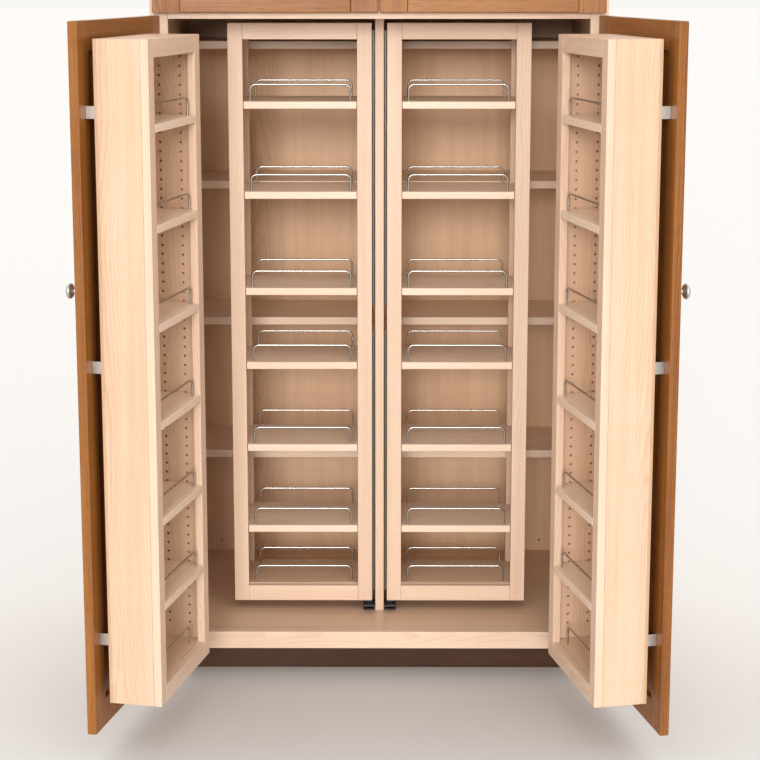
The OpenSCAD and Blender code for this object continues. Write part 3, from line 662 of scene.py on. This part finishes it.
def turned(profile, place, axis, sides=48):
    """A solid of revolution: profile holds (height, radius) pairs along axis from place."""
    solid = bmesh.new()
    side = axis.orthogonal().normalized()
    other = axis.cross(side)
    rings = []
    for height, radius in profile:
        centre = place + axis * height
        if radius < WELD:
            rings.append([solid.verts.new(centre)])
            continue
        rings.append([
            solid.verts.new(centre + radius * (math.cos(turn) * side + math.sin(turn) * other))
            for turn in (2 * math.pi * k / sides for k in range(sides))
        ])
    for low, high in zip(rings, rings[1:]):
        for k in range(sides):
            after = k + 1
            ring = [low[k % len(low)], low[after % len(low)], high[after % len(high)], high[k % len(high)]]
            solid.faces.new(list(dict.fromkeys(ring)))
    for ring in (rings[0], rings[-1]):
        if len(ring) > 1:
            solid.faces.new(ring)
    bmesh.ops.recalc_face_normals(solid, faces=solid.faces)
    return solid


def rounded(points, steps=5):
    """A smooth curve through (height, radius) points."""
    out = []
    for i in range(len(points) - 1):
        before = points[max(i - 1, 0)]
        start, end = points[i], points[i + 1]
        after = points[min(i + 2, len(points) - 1)]
        for k in range(steps):
            t = k / steps
            out.append(tuple(
                0.5 * (
                    2 * b + (c - a) * t + (2 * a - 5 * b + 4 * c - d) * t * t
                    + (3 * b - a - 3 * c + d) * t ** 3
                )
                for a, b, c, d in zip(before, start, end, after)
            ))
    return out + [points[-1]]


def wire_rail(lo, hi):
    """A bent rail standing in the two holes at its ends, inside the box lo to hi."""
    settings = hardware_settings()
    y = (lo.y + hi.y) / 2
    left, right, top = lo.x + WIRE_R, hi.x - WIRE_R, hi.z - WIRE_R
    path = [Vector((left, y, lo.z)), Vector((left, y, top - WIRE_BEND))]
    for k in range(1, settings.bend_steps + 1):
        turn = math.pi / 2 * k / settings.bend_steps
        path.append(Vector((
            left + WIRE_BEND * (1 - math.cos(turn)), y, top - WIRE_BEND * (1 - math.sin(turn))
        )))
    path += [Vector((left + right - point.x, y, point.z)) for point in reversed(path)]
    solid = tube(path, WIRE_R, settings.wire_sides, AXES[1])
    for vert in solid.verts:
        if abs(vert.co.z - lo.z) < WELD:
            centre = Vector((left if vert.co.x < (left + right) / 2 else right, y, lo.z))
            vert.co = centre + (vert.co - centre) * (1 - WIRE_TIP / WIRE_R)
    return solid


def wire_rails(node, name):
    """The rails of one rack."""
    chance = random.Random(node)
    rails = []
    for lo, hi in boxes_of(node):
        rail = wire_rail(lo, hi)
        marked(rail, chance)
        rails.append(rail)
    return piece(name, joined(rails), body_of(node), slot_of(node), [node])


def pin_peg(start, axis, depth):
    """The turned peg with three grooves that sits in the wall, and its collar."""
    peg = [(0, 0), (0, PEG_R * 0.6), (0.0007, PEG_R * 0.94)]
    for k in range(3):
        groove = 0.0016 + k * 0.0018
        peg += [
            (groove, PEG_R), (groove + 0.0002, PEG_R * 0.9),
            (groove + 0.0006, PEG_R * 0.9), (groove + 0.0008, PEG_R),
        ]
    peg += [
        (depth, PEG_R), (depth, COLLAR_R), (depth + 0.0006, COLLAR_R),
        (depth + 0.0009, PEG_R * 0.9), (depth + 0.0009, 0),
    ]
    return turned(peg, start, axis, 20)


def pin_spoon(lo, hi, wall, inward):
    """The flat tongue under the shelf, round at its end, with the rib that stiffens it."""
    spoon = bmesh.new()
    y, half = (lo.y + hi.y) / 2, (hi.y - lo.y) / 2
    outline = [(0, -half), (TONGUE - half, -half)]
    outline += [
        (TONGUE - half + half * math.sin(turn), -half * math.cos(turn))
        for turn in (math.pi * k / 10 for k in range(1, 10))
    ]
    outline += [(TONGUE - half, half), (0, half)]
    for z, order in ((hi.z - SPOON_T, 1), (hi.z, -1)):
        verts = [spoon.verts.new((wall + inward * x, y + side, z)) for x, side in outline]
        spoon.faces.new(verts[::order])
    spoon.verts.ensure_lookup_table()
    n = len(outline)
    for k in range(n):
        spoon.faces.new([spoon.verts[i] for i in (k, (k + 1) % n, n + (k + 1) % n, n + k)])
    rib = [
        [spoon.verts.new((wall + inward * x, y + side, hi.z - down)) for side in (-RIB_HALF, RIB_HALF)]
        for x, down in ((0.0005, 0.001), (TONGUE * 0.8, 0.001), (0.0005, 2 * PEG_R * 0.9))
    ]
    for a, b in zip(rib, rib[1:] + rib[:1]):
        spoon.faces.new((a[0], a[1], b[1], b[0]))
    spoon.faces.new([pair[0] for pair in rib])
    spoon.faces.new([pair[1] for pair in reversed(rib)])
    bmesh.ops.recalc_face_normals(spoon, faces=spoon.faces)
    return spoon


def shelf_pin(lo, hi, inward):
    """A pin with a turned peg, a collar on the wall and a spoon under the shelf."""
    wall = hi.x - TONGUE if inward > 0 else lo.x + TONGUE
    outer = lo.x if inward > 0 else hi.x
    start = Vector((outer, (lo.y + hi.y) / 2, hi.z - PEG_R))
    peg = pin_peg(start, AXES[0] * inward, abs(wall - outer))
    return joined([peg, pin_spoon(lo, hi, wall, inward)])


def shelf_pins(node, name):
    """The pins of one rack, or of the cabinet's sides."""
    boxes = boxes_of(node)
    middle = (min(lo.x for lo, hi in boxes) + max(hi.x for lo, hi in boxes)) / 2
    chance = random.Random(node)
    pins = []
    for lo, hi in boxes:
        pin = shelf_pin(lo, hi, 1 if (lo.x + hi.x) / 2 < middle else -1)
        marked(pin, chance)
        pins.append(pin)
    return piece(name, joined(pins), body_of(node), slot_of(node), [node])


def screw(place, axis, head_r, shank_l, turn):
    """A pan-head screw with a cross recess; its head sits on the face at place."""
    solid = bmesh.new()
    side = Matrix.Rotation(turn, 3, axis) @ axis.orthogonal().normalized()
    other = axis.cross(side)
    head_t, shank_r = SCREW_HEAD_T, SCREW_SHANK_R
    sides, arm, reach = 32, 0.14, 0.62
    rings = []
    for share_of_r in (0.05, 0.14, 0.24, 0.36, 0.48, 0.60, 0.68, 0.82, 0.94, 1.0):
        ring = []
        for k in range(sides):
            angle = 2 * math.pi * k / sides
            u, v = share_of_r * math.cos(angle), share_of_r * math.sin(angle)
            height = head_t * (1 - 0.75 * share_of_r ** 4)
            if min(abs(u), abs(v)) < arm and share_of_r < reach:
                height -= head_t * 0.75 * (1 - share_of_r / reach * 0.6)
            ring.append(solid.verts.new(place + axis * height + head_r * (u * side + v * other)))
        rings.append(ring)
    shank = ((0, head_r), (0, shank_r), (-shank_l * 0.75, shank_r * 0.92), (-shank_l, shank_r * 0.1))
    for height, radius in shank:
        rings.append([
            solid.verts.new(place + axis * height + radius * (math.cos(a) * side + math.sin(a) * other))
            for a in (2 * math.pi * k / sides for k in range(sides))
        ])
    for low, high in zip(rings, rings[1:]):
        for k in range(sides):
            solid.faces.new((low[k], low[(k + 1) % sides], high[(k + 1) % sides], high[k]))
    solid.faces.new(rings[0])
    solid.faces.new(rings[-1])
    bmesh.ops.recalc_face_normals(solid, faces=solid.faces)
    return solid


def leaf_screws(boxes, chance):
    """Screws of the continuous hinges, heads towards the gap beside the post."""
    gap = (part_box("centre_post")[1].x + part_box("right_rack_front_frame")[0].x) / 2
    screws = []
    for lo, hi in boxes:
        out = 1 if abs((lo.x + hi.x) / 2) < gap else -1
        way = out * math.copysign(1, lo.x + hi.x)
        face = (hi.x if way > 0 else lo.x) - way * SCREW_HEAD_T
        place = Vector((face, (lo.y + hi.y) / 2, (lo.z + hi.z) / 2))
        shank_l = hi.x - lo.x - SCREW_HEAD_T
        made = screw(place, AXES[0] * way, (hi.z - lo.z) / 2, shank_l, chance.uniform(0, 1.5))
        marked(made, chance)
        screws.append(made)
    return screws


def is_screw(lo, hi):
    """True for a screw, which is lower than a length of hinge."""
    return hi.z - lo.z < SCREW_TALLEST


def knob(lo, hi):
    """A turned knob whose foot is on the door, at the far side of the box."""
    y, x, z = hi.y, (lo.x + hi.x) / 2, (lo.z + hi.z) / 2
    tall, wide = hi.y - lo.y, (hi.x - lo.x) / 2
    foot = [(0, 0), (0, 0.60), (0.030, 0.60), (0.055, 0.575), (0.062, 0.50)]
    neck = rounded([(0.062, 0.50), (0.12, 0.40), (0.28, 0.355), (0.42, 0.41), (0.56, 0.82), (0.64, 0.955)])
    head = rounded([
        (0.64, 0.955), (0.70, 1.0), (0.77, 0.985), (0.86, 0.88), (0.94, 0.62), (0.985, 0.30), (1.0, 0.0),
    ])
    outline = foot + neck[1:] + head[1:]
    profile = [(height * tall, max(0.0, radius) * wide) for height, radius in outline]
    return turned(profile, Vector((x, y, z)), -AXES[1], 64)


def knob_piece(node, name, box):
    """A knob inside its box, in place of the CAD node's own."""
    made = knob(*box)
    marked(made, random.Random(name))
    return piece(name, made, body_of(node), slot_of(node), [node])


def near_middle(lo, hi):
    """True for a knob of the upper doors, whose hinges are far from the middle."""
    return abs(lo.x + hi.x) / 2 < KNOB_REACH


def bead(node, name, panel_box):
    """A quarter-round bead round the panel on the door's outer face, mitred at its corners."""
    size = wood_settings().bead
    panel_lo, panel_hi = panel_box
    body = body_of(node)
    y = panel_lo.y
    x0, x1 = panel_lo.x + PANEL_GROOVE - PANEL_PLAY, panel_hi.x - PANEL_GROOVE + PANEL_PLAY
    z0, z1 = panel_lo.z + PANEL_GROOVE, panel_hi.z - PANEL_GROOVE + PANEL_PLAY
    steps = 6
    section = [(0.0, 0.0)] + [
        (size * (1 - math.sin(turn)), size * (1 - math.cos(turn)))
        for turn in (math.pi / 2 * k / steps for k in range(steps + 1))
    ]
    chance = random.Random(name)
    lengths = []
    for a, b, inward in (
        (Vector((x0, y, z0)), Vector((x1, y, z0)), AXES[2]),
        (Vector((x1, y, z1)), Vector((x0, y, z1)), -AXES[2]),
        (Vector((x0, y, z1)), Vector((x0, y, z0)), AXES[0]),
        (Vector((x1, y, z0)), Vector((x1, y, z1)), -AXES[0]),
    ):
        along = (b - a).normalized()
        strip = bmesh.new()
        rings = [
            [
                strip.verts.new(end + inward * across - AXES[1] * up + along * way * (across + MITRE_SEAM))
                for across, up in section
            ]
            for end, way in ((a, 1), (b, -1))
        ]
        n = len(section)
        for k in range(n):
            strip.faces.new((rings[0][k], rings[0][(k + 1) % n], rings[1][(k + 1) % n], rings[1][k]))
        strip.faces.new(rings[0])
        strip.faces.new(rings[1])
        bmesh.ops.recalc_face_normals(strip, faces=strip.faces)
        marked(strip, chance)
        lengths.append(strip)
    return piece(name, joined(lengths), body, slot_of(node))


# ---- Operators: one for each group of like pieces ----


def finished(operator, made):
    """Ends an operator, or stops the script with an error when it made nothing."""
    if not made:
        raise RuntimeError(f"{operator.bl_label} made nothing")
    return {"FINISHED"}


class PANTRY_OT_box(bpy.types.Operator):
    """Boards of the cabinet's box: sides, floor, divider, top, back and toe kick"""

    bl_idname = "pantry.box"
    bl_label = "Cabinet Box"
    bl_options = {"REGISTER", "UNDO"}

    def execute(self, context):
        nodes = (
            "side_panel_left", "side_panel_right", "bottom_panel", "mid_panel", "top_panel",
            "back_panel", "hang_rails", "toe_kick",
        )
        return finished(self, [boards(node, node + "_wood") for node in nodes])


class PANTRY_OT_face_frame(bpy.types.Operator):
    """Stiles and rails of the face frame, and the centre post behind it"""

    bl_idname = "pantry.face_frame"
    bl_label = "Face Frame"
    bl_options = {"REGISTER", "UNDO"}

    def execute(self, context):
        nodes = ("face_frame_stiles", "face_frame_rails", "centre_post")
        return finished(self, [boards(node, node + "_wood") for node in nodes])


class PANTRY_OT_fixed_shelves(bpy.types.Operator):
    """Half-depth shelves at the back, the upper shelf and their pins"""

    bl_idname = "pantry.fixed_shelves"
    bl_label = "Fixed Shelves"
    bl_options = {"REGISTER", "UNDO"}

    def execute(self, context):
        made = [
            # The shelves take the paler maple copy, painted light on their tops.
            boards(node, node + "_wood", look="maple_shelf_painted_light", **SHELF_EDGES)
            for node in ("rear_shelves", "upper_shelf")
        ]
        made.append(shelf_pins("shelf_pins", "cabinet_shelf_pins"))
        return finished(self, made)


class PANTRY_OT_cabinet_hardware(bpy.types.Operator):
    """Fixed halves of the hinges, their screws and the pivot brackets"""

    bl_idname = "pantry.cabinet_hardware"
    bl_label = "Cabinet Hardware"
    bl_options = {"REGISTER", "UNDO"}

    def execute(self, context):
        made = [
            # The post's hinge leaves and their screws take the darkened hinge steel: painted shade in the gap
            # beside the post.
            boards("post_hinge_leaves", "post_hinges", look="hinge_steel", **LEAF_EDGES),
            boards("pivot_brackets", "pivot_bracket_plates", **BRACKET_EDGES),
            boards("door_hinge_plates", "frame_hinge_plates", **FITTING_EDGES),
        ]
        chance = random.Random("cabinet_screws")
        screws = leaf_screws(boxes_of("cabinet_screws"), chance)
        made.append(
            piece("post_hinge_screws", joined(screws), "cabinet", slot_of("cabinet_screws"),
                  ["cabinet_screws"], "hinge_steel")
        )
        return finished(self, made)


class PANTRY_OT_racks(bpy.types.Operator):
    """The two racks that swing out of the cabinet"""

    bl_idname = "pantry.racks"
    bl_label = "Swing-out Racks"
    bl_options = {"REGISTER", "UNDO"}

    def execute(self, context):
        made = []
        for side in SIDES:
            rack = side + "_rack_"
            for part in ("case", "front_frame", "back_frame"):
                made.append(boards(rack + part, rack + part + "_wood"))
            # The shelves take the paler maple copy, painted light on their tops.
            made.append(boards(rack + "shelves", rack + "shelves_wood", look="maple_shelf_painted_light", **SHELF_EDGES))
            made.append(wire_rails(rack + "rails", rack + "wire_rails"))
            made.append(shelf_pins(rack + "pins", rack + "shelf_pins"))
            made.append(boards(rack + "pivot", rack + "pivot_plate", **PIVOT_EDGES))
            # The rack's hinge leaves and their screws take the darkened hinge steel: painted shade in the gap
            # beside the post.
            made.append(
                boards(rack + "hinges", rack + "hinge_leaves", look="hinge_steel",
                       keep=lambda lo, hi: not is_screw(lo, hi), **LEAF_EDGES)
            )
            chance = random.Random(rack)
            boxes = [box for box in boxes_of(rack + "hinges") if is_screw(*box)]
            made.append(
                piece(rack + "hinge_screws", joined(leaf_screws(boxes, chance)), side + "_rack",
                      slot_of(rack + "hinges"), [rack + "hinges"], "hinge_steel")
            )
        return finished(self, made)


class PANTRY_OT_door_racks(bpy.types.Operator):
    """The shallow racks that the lower doors carry"""

    bl_idname = "pantry.door_racks"
    bl_label = "Door Racks"
    bl_options = {"REGISTER", "UNDO"}

    def execute(self, context):
        made = []
        for side in SIDES:
            rack = side + "_door_rack_"
            for part in ("case", "back", "frame"):
                made.append(boards(rack + part, rack + part + "_wood"))
            # The shelves take the paler maple copy, painted light on their tops.
            made.append(boards(rack + "shelves", rack + "shelves_wood", look="maple_shelf_painted_light", **SHELF_EDGES))
            made.append(wire_rails(rack + "rails", rack + "wire_rails"))
            made.append(shelf_pins(rack + "pins", rack + "shelf_pins"))
            made.append(boards(rack + "brackets", rack + "stand_offs", **FITTING_EDGES))
        return finished(self, made)


class PANTRY_OT_lower_doors(bpy.types.Operator):
    """The two lower doors with their beads, hinges and knobs"""

    bl_idname = "pantry.lower_doors"
    bl_label = "Lower Doors"
    bl_options = {"REGISTER", "UNDO"}

    def execute(self, context):
        made = []
        for side in SIDES:
            door = side + "_door_"
            made.append(boards(door + "frame", door + "frame_wood", **DOOR_EDGES))
            made.append(boards(door + "panel", door + "panel_wood", **PANEL_EDGES))
            made.append(boards(door + "hinges", door + "cup_hinges", **FITTING_EDGES))
            made.append(bead(door + "panel", door + "bead", boxes_of(door + "panel")[0]))
            knob_box = boxes_of(door + "knob")[0]
            made.append(knob_piece(door + "knob", door + "turned_knob", knob_box))
        return finished(self, made)


class PANTRY_OT_upper_doors(bpy.types.Operator):
    """The two upper doors with their beads, hinges and knobs"""

    bl_idname = "pantry.upper_doors"
    bl_label = "Upper Doors"
    bl_options = {"REGISTER", "UNDO"}

    def execute(self, context):
        made = []
        for side in SIDES:
            door, fittings = f"upper_{side}_door", f"upper_{side}_fittings"
            made.append(boards(door, door + "_wood", **DOOR_EDGES))
            panel = min(boxes_of(door), key=lambda box: box[1].y - box[0].y)
            made.append(bead(door, door + "_bead", panel))
            made.append(
                boards(fittings, door + "_hinges", keep=lambda lo, hi: not near_middle(lo, hi),
                       **FITTING_EDGES)
            )
            knob_box = next(box for box in boxes_of(fittings) if near_middle(*box))
            made.append(knob_piece(fittings, door + "_knob", knob_box))
        return finished(self, made)


# ---- Stage ----


def soft_sun(name, azimuth, elevation, strength, spread, tint):
    """An even light from far away, in degrees: azimuth 0 is the front and 90 the right."""
    data = bpy.data.lights.new(name, "SUN")
    data.energy = strength
    data.angle = math.radians(spread)
    data.color = tint
    lamp = bpy.data.objects.new(name, data)
    lamp.rotation_euler = (math.radians(90 - elevation), 0, math.radians(azimuth))
    bpy.context.scene.collection.objects.link(lamp)


class PANTRY_OT_stage(bpy.types.Operator):
    """Pale floor, soft lights and the camera"""

    bl_idname = "pantry.stage"
    bl_label = "Stage"
    bl_options = {"REGISTER", "UNDO"}

    def execute(self, context):
        settings = stage_settings()
        self.lay_floor(settings)
        self.camera(settings)
        # Name, azimuth, elevation, strength, spread and tint
        for light in (
            ("key", -4, 10, settings.key, 16, (1.0, 0.985, 0.965)),
            ("high", 10, 36, 0.42 * settings.key, 60, (1.0, 0.985, 0.97)),
            ("back_left", 215, 40, settings.fill, 50, (1.0, 0.99, 0.98)),
            ("back_right", 140, 40, settings.fill, 50, (1.0, 0.99, 0.98)),
        ):
            soft_sun(*light)
        world = bpy.data.worlds.new("studio")
        world.use_nodes = True
        background = world.node_tree.nodes["Background"]
        background.inputs["Color"].default_value = (1.0, 0.985, 0.965, 1.0)
        background.inputs["Strength"].default_value = settings.sky
        bpy.context.scene.world = world
        bpy.context.scene.view_settings.view_transform = "Standard"
        return finished(self, [world])

    def lay_floor(self, settings):
        """A flat round floor that runs out to the horizon."""
        radius, sides = 80.0, 96
        sheet = bmesh.new()
        sheet.faces.new([
            sheet.verts.new((radius * math.cos(turn), radius * math.sin(turn), 0))
            for turn in (2 * math.pi * k / sides for k in range(sides))
        ])
        mesh = bpy.data.meshes.new("floor")
        sheet.to_mesh(mesh)
        sheet.free()
        material, tree, shader = shaded("floor")
        coordinates = tree.nodes.new("ShaderNodeTexCoord")
        cloud = noise(tree, coordinates.outputs["Object"], (0.7, 0.7, 0.7), 3.0)
        mottle = maths(tree, "MULTIPLY", cloud, 0.3)
        paint = blended(tree, mottle, rgba(settings.floor), rgba(settings.floor, 0.94))
        tree.links.new(paint, shader.inputs["Base Color"])
        shader.inputs["Roughness"].default_value = 0.75
        mesh.materials.append(material)
        floor = bpy.data.objects.new("floor", mesh)
        bpy.context.scene.collection.objects.link(floor)

    def camera(self, settings):
        """The camera at its place, looking at the cabinet's front."""
        data = bpy.data.cameras.new("camera")
        data.lens = settings.lens
        data.sensor_width = 36.0
        data.shift_y = settings.shift
        data.clip_end = 200
        camera = bpy.data.objects.new("camera", data)
        camera.location = settings.eye
        camera.rotation_euler = (math.pi / 2 - settings.pitch, 0, settings.yaw)
        bpy.context.scene.collection.objects.link(camera)
        bpy.context.scene.camera = camera


OPERATORS = (
    PANTRY_OT_stage, PANTRY_OT_box, PANTRY_OT_face_frame, PANTRY_OT_fixed_shelves, PANTRY_OT_cabinet_hardware,
    PANTRY_OT_racks, PANTRY_OT_lower_doors, PANTRY_OT_door_racks, PANTRY_OT_upper_doors,
)


class PANTRY_PT_sidebar(bpy.types.Panel):
    """Lists the cabinet's operators and settings"""

    bl_idname = "PANTRY_PT_sidebar"
    bl_label = "Pantry Cabinet"
    bl_space_type = "VIEW_3D"
    bl_region_type = "UI"
    bl_category = "Pantry"

    def draw(self, context):
        for operator in OPERATORS:
            self.layout.operator(operator.bl_idname)
        for group in (wood_settings(), hardware_settings(), stage_settings()):
            box = self.layout.box()
            for name in group.bl_rna.properties.keys():
                if name not in ("rna_type", "name"):
                    box.prop(group, name)


GROUPS = {"pantry_wood": PantryWood, "pantry_hardware": PantryHardware, "pantry_stage": PantryStage}
CLASSES = (*GROUPS.values(), *OPERATORS, PANTRY_PT_sidebar)


def register():
    for each in CLASSES:
        bpy.utils.register_class(each)
    for name, group in GROUPS.items():
        setattr(bpy.types.Scene, name, bpy.props.PointerProperty(type=group))


def unregister():
    for name in GROUPS:
        delattr(bpy.types.Scene, name)
    for each in reversed(CLASSES):
        bpy.utils.unregister_class(each)


def main():
    """Builds the cabinet and its stage."""
    register()
    for operator in OPERATORS:
        getattr(bpy.ops.pantry, operator.bl_idname.split(".")[1])()


if __name__ == "__main__":
    main()
